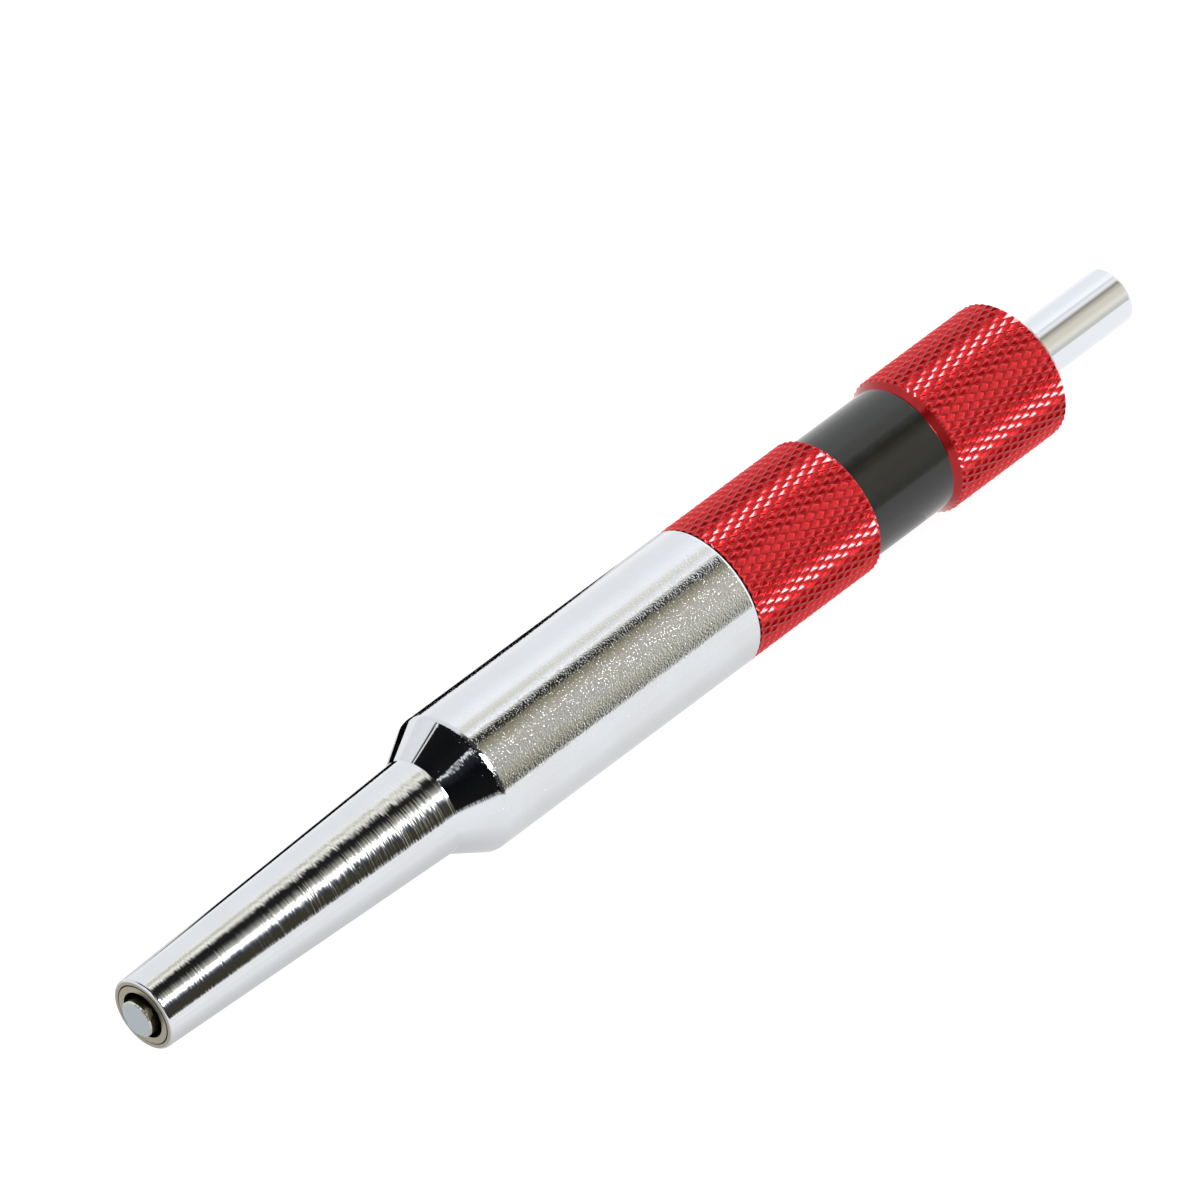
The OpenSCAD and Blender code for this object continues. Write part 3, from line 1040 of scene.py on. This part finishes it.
@dataclass
class Striker:
    """The sliding striker: the struck rod and the driver pin in its front end.

    Attributes:
        finishes: The tool's finishes.
        rod_ease: Rounding of the struck end.
        pin_d: Diameter of the driver pin.
        pin_edge: Chamfer around the face of the driver pin.
        dent_reach: Width of the dented edge, along the pin and across its face.
        dent_size: Width of the dents.
        dent_depth: Depth of the deepest dents.
        land_len: Length of the pin's wider land.
        land_rear: Distance from the rear of that land to the rod.
        cross_d: Diameter of the hole for the roll pin.
        cross_sides: Sides of that hole.
    """

    finishes: Finishes
    rod_ease: float = 0.6
    pin_d: float = 6.5
    pin_edge: float = 0.32
    dent_reach: float = 0.64
    dent_size: float = 1.1
    dent_depth: float = 0.3
    land_len: float = 12.0
    land_rear: float = 39.1
    cross_d: float = 3.04
    cross_sides: int = 64

    def build(self) -> None:
        """Models the rod and the driver pin."""
        reach = Extent.of("striker_rod")
        pin = Extent.of("driver_pin")
        self.build_rod(reach, pin)
        self.build_pin(reach, pin)

    def cross_hole(self) -> Workpiece:
        """Makes the cutter for the roll pin's hole, long enough to pass the collar, in edit mode."""
        collar = Extent.of("stop_collar")
        return Workpiece("cross_cutter", bpy.ops.mesh.primitive_cylinder_add, vertices=self.cross_sides,
                         radius=self.cross_d / 2, depth=4 * collar.radius,
                         location=((collar.front + collar.rear) / 2, 0, AXIS_Z))

    def build_rod(self, reach: Extent, pin: Extent) -> None:
        """Models the rod with the socket for the pin.

        Args:
            reach: Reach of the rod.
            pin: Reach of the pin.
        """
        socket_r = self.pin_d / 2 + SEAT_CLEAR
        rod = turned("struck_rod", [
            Corner(pin.rear, 0.0),
            Corner(pin.rear, socket_r),
            Corner(reach.front, socket_r),
            Corner(reach.front, reach.radius),
            Corner(reach.rear, reach.radius, self.rod_ease),
            Corner(reach.rear, 0.0),
        ], hollow=False)
        rod.carve(self.cross_hole(), Cut.OUTSIDE)
        rod.paint([self.finishes.rod_chrome, self.finishes.plain_steel],
                  lambda face: int(face.normal.x > END_FACE))
        rod.hand_over(Body.STRIKER, "striker_rod", "polished_rod")

    def build_pin(self, reach: Extent, pin: Extent) -> None:
        """Models the driver pin.

        Args:
            reach: Reach of the rod.
            pin: Reach of the pin.
        """
        pin_r = self.pin_d / 2
        land_rear = reach.front - self.land_rear
        driver = turned("driver_pin_face", [
            Corner(pin.front, 0.0),
            Corner(pin.front, pin_r - self.pin_edge),
            Corner(pin.front + self.pin_edge, pin_r),
            Corner(land_rear - self.land_len, pin_r),
            Corner(land_rear - self.land_len, pin.radius),
            Corner(land_rear, pin.radius),
            Corner(land_rear, pin_r),
            Corner(pin.rear, pin_r),
            Corner(pin.rear, 0.0),
        ], hollow=False)
        self.dent_edge(driver, pin.front)
        driver.carve(self.cross_hole(), Cut.OUTSIDE)
        # The pin's side in its bore is painted dark brown as shade
        driver.paint([self.finishes.zinc, self.finishes.sheared_edge, self.finishes.bore_shade_steel],
                     lambda face: self.finish_of(face, pin.front))
        driver.hand_over(Body.STRIKER, "driver_pin", "zinc_pin")

    def dent_edge(self, driver: Workpiece, front: float) -> None:
        """Dents the edge of the driver pin's face, which was sheared and not turned.

        Args:
            driver: The pin, in edit mode.
            front: Place of its face.
        """
        rear = front + self.dent_reach
        inner_r = self.pin_d / 2 - self.dent_reach
        driver.select(Pick.VERT, lambda vert: vert.co.x < rear and off_axis(vert.co) > inner_r)
        bpy.ops.object.vertex_group_assign_new()
        driver.leave()
        dents = bpy.data.textures.new("sheared_edge_dents", "CLOUDS")
        dents.noise_scale = self.dent_size
        driver.apply("DISPLACE", texture=dents, texture_coords="LOCAL", strength=self.dent_depth,
                     mid_level=1.0, vertex_group=driver.obj.vertex_groups[0].name)

    def finish_of(self, face: bpy.types.MeshPolygon, front: float) -> int:
        """Says which finish a face of the driver pin has.

        Args:
            face: The face.
            front: Place of the pin's own face.

        Returns:
            0 for the zinc plated face, 1 for its sheared edge and 2 for its side in the bore, painted dark
            as shade.
        """
        if face.center.x > front + self.dent_reach:
            return 2
        return 0 if face.normal.x < -END_FACE else 1


@dataclass
class ReturnSpring:
    """The return spring, drawn as a fixed coil; in the tool it closes up as the striker slides back.

    Attributes:
        finishes: The tool's finishes.
        wire_d: Diameter of the wire.
        coils: Number of coils.
        rings_per_coil: Rings of points in a coil.
        wire_sides: Sides of the wire.
        slide: The joint that closes it; not used.
    """

    finishes: Finishes
    wire_d: float = 1.3
    coils: int = 17
    rings_per_coil: int = 40
    wire_sides: int = 12
    slide: str = "striker_slide"

    def build(self) -> None:
        """Winds the spring and ties it to the housing."""
        reach = Extent.of("return_spring")
        coil_r = reach.radius - self.wire_d / 2
        length = reach.rear - reach.front
        wire = Workpiece("return_spring_wire", bpy.ops.mesh.primitive_circle_add, vertices=self.wire_sides,
                         radius=self.wire_d / 2, fill_type="NGON",
                         location=(reach.front + self.wire_d / 2, 0, AXIS_Z + coil_r),
                         rotation=(math.pi / 2, 0, 0))
        pitch = (length - self.wire_d) / self.coils
        step = (pitch / self.rings_per_coil, 0, 0)
        turn = -math.tau / self.rings_per_coil
        for _ in range(self.coils * self.rings_per_coil):
            bpy.ops.mesh.extrude_region_move(TRANSFORM_OT_translate={"value": step})
            bpy.ops.transform.rotate(value=turn, orient_axis="X", center_override=(0, 0, AXIS_Z))
        wire.close()
        wire.paint([self.finishes.spring_steel])
        spring = wire.hand_over(Body.HOUSING, "return_spring", "spring_steel")
        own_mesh(spring)


@dataclass
class InnerPieces:
    """Pieces inside the tool, which keep their solids and get a finish.

    Attributes:
        finishes: The tool's finishes.
    """

    finishes: Finishes

    def dress(self) -> None:
        """Gives each inner piece its finish."""
        worn = {
            "front_buffer": self.finishes.rubber,
            "front_guide_bush": self.finishes.bronze,
            "spring_washer": self.finishes.plain_steel,
            "stop_collar": self.finishes.plain_steel,
            "cross_pin": self.finishes.spring_steel,
        }
        for node, finish in worn.items():
            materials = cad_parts[node].data.materials
            materials.clear()
            materials.append(finish)
            log.info("%s: dressed as it is", node)


# Colours of the studio's lights and boards
WHITE = "#FFFFFF"
BLACK = "#050505"
PAPER = "#FCFDFF"
WARM = "#FFFCEE"
DIM = "#FFF6D0"
CREAM = "#FFF6E2"
NIGHT = "#AEB8D0"


@dataclass(frozen=True)
class Glow:
    """Light from one direction around the tool's axis.

    Attributes:
        angle: The direction, in degrees from overhead towards the camera's side.
        light: Its brightness.
        color: Its colour.
    """

    angle: float
    light: float
    color: str = WHITE


@dataclass(frozen=True)
class Lean:
    """The lean of lights along the tool's axis.

    Attributes:
        start: Share of the axis in the direction at which the lean starts.
        end: Share at which it ends.
        turn: Angle by which the lights lean to either side, in degrees.
    """

    start: float
    end: float
    turn: float


@dataclass(frozen=True)
class Zone:
    """The surroundings that slopes in one direction along the tool's axis show.

    Attributes:
        start: Share of the axis in the direction at which this zone begins to take over.
        end: Share at which it has taken over.
        glows: The lights around the axis, in order.
        lean: How they lean along the axis, if they do.
    """

    start: float
    end: float
    glows: tuple[Glow, ...]
    lean: Lean | None = None


# A softbox over the camera, wide above the nose
SOFTBOX_FRONT = Zone(0.0, 0.0, (
    Glow(-100, 1.1, PAPER), Glow(-20, 1.1, PAPER), Glow(-10, 0.06), Glow(26.5, 0.06), Glow(28, 48.0),
    Glow(47, 48.0), Glow(48.5, 0.06), Glow(86, 0.06), Glow(92, 1.1, PAPER), Glow(120, 1.1, PAPER),
))
# Its narrow end, a dark gap beside it and a white sheet behind the tool
SOFTBOX_SIDE = Zone(0.3, 0.36, (
    Glow(-100, 1.18, PAPER), Glow(-40, 1.22, PAPER), Glow(-33, 1.3, WARM), Glow(-28, 0.76, WARM),
    Glow(-24, 0.85, WARM), Glow(-18, 1.5, WARM), Glow(-13, 0.9, WARM), Glow(-8.5, 0.05, NIGHT),
    Glow(-5, 0.018), Glow(10, 0.02), Glow(15, 0.09, WARM), Glow(20, 0.33, WARM), Glow(28, 0.66, WARM),
    Glow(32, 1.1), Glow(33.5, 3.5, WARM), Glow(41, 3.5, WARM), Glow(44, 1.2), Glow(48, 0.5, NIGHT),
    Glow(54, 0.15, NIGHT), Glow(60, 0.064, DIM), Glow(86, 0.058, DIM), Glow(90, 1.0, PAPER),
    Glow(120, 1.15, PAPER),
), Lean(0.385, 0.505, 12.0))
# The plain room beside the softbox, above and below what changes along it
ROOM_ABOVE = (
    Glow(-100, 1.18, PAPER), Glow(-60, 1.22, PAPER), Glow(-36, 1.4, PAPER), Glow(-31, 1.34, PAPER),
    Glow(-26, 1.08, WARM), Glow(-19, 0.98, WARM), Glow(-14, 1.25), Glow(-8, 1.5), Glow(-4.5, 0.8, WARM),
    Glow(-0.5, 0.04, DIM), Glow(8, 0.02, DIM), Glow(11, 0.24, DIM), Glow(20, 0.44, DIM),
    Glow(28, 0.56, WARM), Glow(36, 0.62, WARM),
)
ROOM_BELOW = (Glow(90, 0.95, WARM), Glow(94, 1.05, PAPER), Glow(120, 1.15, PAPER))
# The room with the dark edge of the floor
ROOM_SIDE = Zone(0.468, 0.486, (
    *ROOM_ABOVE, Glow(48, 0.58, WARM), Glow(60, 0.54, WARM), Glow(68, 0.44, DIM), Glow(76, 0.28, DIM),
    Glow(81, 0.13, DIM), Glow(87, 0.1, DIM), *ROOM_BELOW,
))
# The same room further along, where it is lighter near the floor
ROOM_REAR = Zone(0.513, 0.5205, (
    *ROOM_ABOVE, Glow(48, 0.66, WARM), Glow(60, 0.66, WARM), Glow(72, 0.61, WARM), Glow(84, 0.62, WARM),
    *ROOM_BELOW,
))
# The white sheet that closes the studio behind the struck end
SHEET_SIDE = Zone(0.524, 0.54, (
    Glow(-100, 1.15, PAPER), Glow(-46, 1.22, PAPER), Glow(-28, 1.38, PAPER), Glow(-20, 1.38, PAPER),
    Glow(-12, 0.95), Glow(-3, 1.25), Glow(4, 1.0), Glow(10, 0.46, CREAM), Glow(14, 0.42, CREAM),
    Glow(20, 0.62, CREAM), Glow(27, 0.78, CREAM), Glow(35, 0.94, CREAM), Glow(50, 0.97, CREAM),
    Glow(57, 1.04, WARM), Glow(65, 1.1, WARM), Glow(72, 0.98, WARM), Glow(81, 0.78, WARM), Glow(88, 0.8),
    Glow(95, 1.1, PAPER), Glow(104, 1.22, PAPER), Glow(120, 1.2, PAPER),
))
# A bright panel in front of that sheet, which the rim of the barrel shows
PANEL_SIDE = Zone(0.6, 0.615, (
    Glow(-100, 1.3, PAPER), Glow(-30, 1.5), Glow(95, 1.5), Glow(120, 1.3, PAPER),
))
# The sheet again, past the panel
SHEET_END = Zone(0.69, 0.705, SHEET_SIDE.glows)
# The dark room behind the camera, between the white sheet and the floor
DARK_SIDE = Zone(-0.05, -0.11, (
    Glow(-100, 1.15, PAPER), Glow(-59, 1.15, PAPER), Glow(-57, 0.012), Glow(-55, 0.012), Glow(-54, 1.5),
    Glow(-53, 1.5), Glow(-52, 0.012), Glow(0, 0.012, NIGHT), Glow(86, 0.012), Glow(89, 1.1, PAPER),
    Glow(120, 1.15, PAPER),
))
# A strip lamp in that room
LAMP_SIDE = Zone(-0.36, -0.42, (
    Glow(-100, 1.15, PAPER), Glow(-58, 1.15, PAPER), Glow(-55, 0.02), Glow(11.5, 0.012), Glow(12.5, 2.0),
    Glow(13.5, 2.0), Glow(15, 0.08, NIGHT), Glow(34, 0.012, NIGHT), Glow(86, 0.012), Glow(89, 1.1, PAPER),
    Glow(120, 1.15, PAPER),
), Lean(-0.475, -0.415, 6.0))
# A plain room again, which only views from the struck end show
REAR_SIDE = Zone(-0.56, -0.62, ROOM_SIDE.glows)


@dataclass
class Surroundings:
    """The studio around the tool, as polished metal shows it.

    Attributes:
        zones: The zones along the axis, each over the ones before it.
        full: Brightness that the ramps reach.
        reach: Largest angle around the axis that the ramps cover, in degrees.
        sky: Brightness of the plain sky that lights matt surfaces.
        backdrop: Brightness of what the camera sees past the floor.
    """

    zones: tuple[Zone, ...] = (
        SOFTBOX_FRONT, SOFTBOX_SIDE, ROOM_SIDE, ROOM_REAR, SHEET_SIDE, PANEL_SIDE, SHEET_END,
        DARK_SIDE, LAMP_SIDE, REAR_SIDE)
    full: float = 50.0
    reach: float = 120.0
    sky: float = 1.0
    backdrop: float = 1.2

    def ramp(self, tree: bpy.types.NodeTree, share: bpy.types.NodeSocket,
             glows: Sequence[Glow]) -> bpy.types.NodeSocket:
        """Adds a ramp of lights around the tool's axis.

        Args:
            tree: The world's node tree.
            share: Place on the ramp, from 0 to 1.
            glows: The lights in order.

        Returns:
            The socket with the light, as a share of the full brightness.
        """
        node = add_node(tree, "ShaderNodeValToRGB", {"Fac": share})
        set_stops(node.color_ramp, [
            ((glow.angle + self.reach) / (2 * self.reach), linear(glow.color, glow.light / self.full))
            for glow in glows])
        return node.outputs["Color"]

    def leaning(self, tree: bpy.types.NodeTree, along: bpy.types.NodeSocket, share: bpy.types.NodeSocket,
                lean: Lean) -> bpy.types.NodeSocket:
        """Adds the nodes that lean a zone's lights, by less and less before the lean's start.

        Args:
            tree: The world's node tree.
            along: Share of the tool's axis in the direction.
            share: Place on the ramp without the lean.
            lean: The lean.

        Returns:
            The socket with the place on the ramp.
        """
        turn = lean.turn / (2 * self.reach)
        tilt = add_node(tree, "ShaderNodeMapRange", {
            "Value": along, "From Min": lean.start, "From Max": lean.end, "To Min": -turn, "To Max": turn})
        fade = add_node(tree, "ShaderNodeMapRange", {
            "Value": along, "From Min": lean.start / 2, "From Max": lean.start})
        return add_node(tree, "ShaderNodeMath", {0: tilt.outputs[0], 1: fade.outputs[0], 2: share},
                        operation="MULTIPLY_ADD").outputs[0]

    def studio_light(self, tree: bpy.types.NodeTree) -> bpy.types.NodeSocket:
        """Adds the nodes that lay all zones over each other.

        Args:
            tree: The world's node tree.

        Returns:
            The socket with the light, as a share of the full brightness.
        """
        coords = add_node(tree, "ShaderNodeTexCoord")
        way = add_node(tree, "ShaderNodeSeparateXYZ", {0: coords.outputs["Generated"]})
        near = add_node(tree, "ShaderNodeMath", {0: way.outputs["Y"], 1: -1.0}, operation="MULTIPLY")
        angle = add_node(tree, "ShaderNodeMath", {0: near.outputs[0], 1: way.outputs["Z"]},
                         operation="ARCTAN2")
        share = add_node(tree, "ShaderNodeMapRange", {
            "Value": angle.outputs[0], "From Min": -math.radians(self.reach),
            "From Max": math.radians(self.reach)})
        light = None
        for zone in self.zones:
            place = share.outputs[0]
            if zone.lean:
                place = self.leaning(tree, way.outputs["X"], place, zone.lean)
            glow = self.ramp(tree, place, zone.glows)
            if light is None:
                light = glow
                continue
            here = add_node(tree, "ShaderNodeMapRange", {
                "Value": way.outputs["X"], "From Min": zone.start, "From Max": zone.end})
            light = add_node(tree, "ShaderNodeMix", {0: here.outputs[0], 6: light, 7: glow},
                             data_type="RGBA").outputs[2]
        return light

    def build(self) -> None:
        """Builds the world: the camera sees a backdrop, gloss the studio, and matt surfaces a sky."""
        world = bpy.data.worlds.new("studio")
        bpy.context.scene.world = world
        world.use_nodes = True
        tree = world.node_tree
        tree.nodes.clear()
        seen = add_node(tree, "ShaderNodeBackground", {"Color": linear(WHITE), "Strength": self.backdrop})
        sky = add_node(tree, "ShaderNodeBackground", {"Color": linear(PAPER), "Strength": self.sky})
        lit = add_node(tree, "ShaderNodeBackground", {
            "Color": self.studio_light(tree), "Strength": self.full})
        path = add_node(tree, "ShaderNodeLightPath")
        mirrored = add_node(tree, "ShaderNodeMixShader", {
            0: path.outputs["Is Glossy Ray"], 1: sky.outputs[0], 2: lit.outputs[0]})
        mix = add_node(tree, "ShaderNodeMixShader", {
            0: path.outputs["Is Camera Ray"], 1: mirrored.outputs[0], 2: seen.outputs[0]})
        add_node(tree, "ShaderNodeOutputWorld", {"Surface": mix.outputs[0]})
        world.cycles.sampling_method = "NONE"


@dataclass
class Studio:
    """The camera, the white floor and a soft lamp.

    Attributes:
        aim: Point at the middle of the picture, in metres.
        towards: Direction from the tool to the camera.
        distance: Distance of the camera, in metres.
        view_depth: Distance up to which the camera sees, in metres.
        lens: Focal length on a 36 mm sensor, in millimetres.
        floor_size: Width of the floor, in metres.
        floor_color: Colour of the floor.
        floor_glow: Light that the floor gives by itself.
        matt: Roughness of the floor and the boards on it.
        flag_size: Length and width of the black strip behind the tool, in metres.
        flag_place: Middle of that strip.
        card_size: Length and width of the grey card under the tool.
        card_place: Middle of that card.
        card_lights: Its brightness at places across it, each given in millimetres from the tool's axis.
        card_full: Brightness that its ramp reaches.
        lamp_height: Height of the lamp above the floor, in metres.
        lamp_size: Width of the lamp, in metres.
        lamp_power: Power of the lamp, in watts.
    """

    aim: tuple[float, float, float] = (0.0049, 0.01142, 0.01165)
    towards: tuple[float, float, float] = (-0.51937, -0.49039, 0.69984)
    distance: float = 3.0
    view_depth: float = 12.0
    lens: float = 588.9
    floor_size: float = 9.0
    floor_color: str = "#959595"
    floor_glow: float = 0.9
    matt: float = 0.9
    flag_size: tuple[float, float] = (0.094, 0.040)
    flag_place: tuple[float, float, float] = (-0.023, 0.050, 0.0005)
    card_size: tuple[float, float] = (0.22, 0.10)
    card_place: tuple[float, float, float] = (-0.05, 0.006, 0.0003)
    card_lights: tuple[tuple[float, float], ...] = (
        (-44, 1.2), (-24, 1.16), (-14, 0.95), (-4, 0.72), (8, 0.75), (56, 0.92))
    card_full: float = 2.0
    lamp_height: float = 1.6
    lamp_size: float = 2.4
    lamp_power: float = 4.0

    def place_camera(self) -> None:
        """Sets the camera at the photo's angle."""
        back = Vector(self.towards).normalized()
        bpy.ops.object.camera_add(location=Vector(self.aim) + back * self.distance,
                                  rotation=back.to_track_quat("Z", "Y").to_euler())
        camera = bpy.context.object
        camera.data.lens = self.lens
        camera.data.clip_end = self.view_depth
        bpy.context.scene.camera = camera
        bpy.context.scene.view_settings.view_transform = "Standard"

    def sheet(self, name: str, length: float, width: float, color: str, glow: float) -> bpy.types.Object:
        """Lays a flat matt sheet on the stage.

        Args:
            name: The sheet's name.
            length: Its length along the tool, in metres.
            width: Its width, in metres.
            color: Its colour.
            glow: Light that it gives by itself.

        Returns:
            The sheet's object.
        """
        bpy.ops.object.select_all(action="DESELECT")
        bpy.ops.mesh.primitive_plane_add(size=1.0)
        bpy.ops.transform.resize(value=(length, width, 1.0))
        sheet = bpy.context.object
        sheet.name = name
        material = bpy.data.materials.new(f"matt_{name}")
        material.use_nodes = True
        shader = material.node_tree.nodes["Principled BSDF"]
        shader.inputs["Base Color"].default_value = linear(color)
        shader.inputs["Roughness"].default_value = self.matt
        shader.inputs["Specular IOR Level"].default_value = 0.0
        shader.inputs["Emission Color"].default_value = linear(WHITE)
        shader.inputs["Emission Strength"].default_value = glow
        sheet.data.materials.append(material)
        return sheet

    def lay_sheets(self) -> None:
        """Lays the white floor, and a black strip and a grey card that only polished metal shows."""
        self.sheet("studio_floor", self.floor_size, self.floor_size, self.floor_color, self.floor_glow)
        flag = self.sheet("studio_flag", *self.flag_size, BLACK, 0.0)
        bpy.ops.transform.translate(value=self.flag_place)
        card = self.sheet("studio_card", *self.card_size, BLACK, self.card_full)
        bpy.ops.transform.translate(value=self.card_place)
        self.shade(card.active_material.node_tree)
        for board in (flag, card):
            board.visible_camera = False
            board.visible_diffuse = False
            board.visible_shadow = False

    def shade(self, tree: bpy.types.NodeTree) -> None:
        """Shades the card across its width, as the tool's own shadow does the floor.

        Args:
            tree: Node tree of the card's material.
        """
        coords = add_node(tree, "ShaderNodeTexCoord")
        place = add_node(tree, "ShaderNodeSeparateXYZ", {0: coords.outputs["UV"]})
        ramp = add_node(tree, "ShaderNodeValToRGB", {"Fac": place.outputs["Y"]})
        stops = []
        for place_mm, light in self.card_lights:
            share = 0.5 + (place_mm * MM - self.card_place[1]) / self.card_size[1]
            # A ramp holds at most 1, and the strength of the glow makes up for that
            stops.append((share, linear(WHITE, light / self.card_full)))
        set_stops(ramp.color_ramp, stops)
        tree.links.new(ramp.outputs["Color"], tree.nodes["Principled BSDF"].inputs["Emission Color"])

    def hang_lamp(self) -> None:
        """Hangs a large soft lamp over the floor, which polished metal doesn't show."""
        bpy.ops.object.light_add(type="AREA", location=(0, 0, self.lamp_height))
        lamp = bpy.context.object
        lamp.data.shape = "SQUARE"
        lamp.data.size = self.lamp_size
        lamp.data.energy = self.lamp_power
        lamp.visible_camera = False
        lamp.visible_glossy = False

    def set_up(self) -> None:
        """Sets up the whole studio."""
        self.place_camera()
        self.lay_sheets()
        self.hang_lamp()
        Surroundings().build()


def main() -> None:
    """Builds the tool's pieces in order and sets up the studio."""
    logging.basicConfig(level=logging.INFO, format="%(name)s: %(message)s")
    Studio().set_up()
    finishes = Finishes()
    Barrel(finishes).build()
    Handle(finishes).build()
    Striker(finishes).build()
    ReturnSpring(finishes).build()
    InnerPieces(finishes).dress()


if __name__ == "__main__":
    main()
